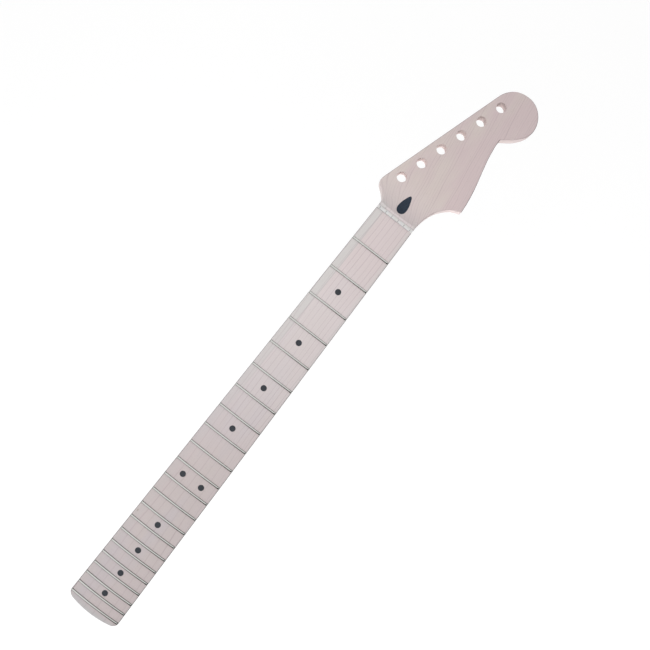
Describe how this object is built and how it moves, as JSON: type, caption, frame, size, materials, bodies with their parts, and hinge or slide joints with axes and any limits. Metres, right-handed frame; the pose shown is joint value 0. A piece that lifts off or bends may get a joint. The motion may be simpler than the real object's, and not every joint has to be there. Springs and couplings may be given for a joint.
{
  "type": "guitar neck",
  "caption": "Bolt-on electric guitar neck: one maple blank with radiused fretted board, bone nut, dot markers, six-in-line headstock and a heel-adjusted truss rod.",
  "frame": {"origin": "middle of the four-screw pattern on the flat back of the heel", "axes": "+X along the neck to the headstock, +Y to the tuner side, +Z out of the fretboard"},
  "size_m": [0.6496, 0.0888, 0.0273],
  "materials": {
    "maple": "raw, sanded smooth",
    "dark_wood": "black-stained, sanded flush",
    "bone": "polished bone",
    "fret_metal": "polished nickel silver",
    "dot_black": "black, sanded flush",
    "rod_steel": "bare steel",
    "nut_steel": "turned and slotted steel"
  },
  "bodies": {
    "neck_body": {"neck": "maple", "back_stripe": "dark_wood", "headstock_plug": "dark_wood", "string_nut": "bone", "truss_rod": "rod_steel", "rod_anchor": "rod_steel", "fret_01": "fret_metal", "fret_02": "fret_metal", "fret_03": "fret_metal", "fret_04": "fret_metal", "fret_05": "fret_metal", "fret_06": "fret_metal", "fret_07": "fret_metal", "fret_08": "fret_metal", "fret_09": "fret_metal", "fret_10": "fret_metal", "fret_11": "fret_metal", "fret_12": "fret_metal", "fret_13": "fret_metal", "fret_14": "fret_metal", "fret_15": "fret_metal", "fret_16": "fret_metal", "fret_17": "fret_metal", "fret_18": "fret_metal", "fret_19": "fret_metal", "fret_20": "fret_metal", "fret_21": "fret_metal", "fret_22": "fret_metal", "dot_03": "dot_black", "dot_05": "dot_black", "dot_07": "dot_black", "dot_09": "dot_black", "dot_15": "dot_black", "dot_17": "dot_black", "dot_19": "dot_black", "dot_21": "dot_black", "dot_12_bass": "dot_black", "dot_12_treble": "dot_black", "side_dot_03": "dot_black", "side_dot_05": "dot_black", "side_dot_07": "dot_black", "side_dot_09": "dot_black", "side_dot_15": "dot_black", "side_dot_17": "dot_black", "side_dot_19": "dot_black", "side_dot_21": "dot_black", "side_dot_12_heel": "dot_black", "side_dot_12_head": "dot_black"},
    "washer_body": {"rod_washer": "rod_steel"},
    "nut_body": {"rod_nut": "nut_steel"}
  },
  "joints": [
    {"name": "rod_nut_travel", "type": "slide", "parent": "neck_body", "child": "washer_body", "axis": [-1, 0, 0], "range_m": [0, 0.0048]},
    {"name": "rod_nut_turn", "type": "hinge", "parent": "washer_body", "child": "nut_body", "pos_m": [-0.0222, 0.0008, 0.0125], "axis": [-1, 0, 0], "range_deg": [0, 2160]}
  ],
  "couplings": [
    {"joint": "rod_nut_turn", "follows": "rod_nut_travel", "rad_per_m": 7854}
  ]
}
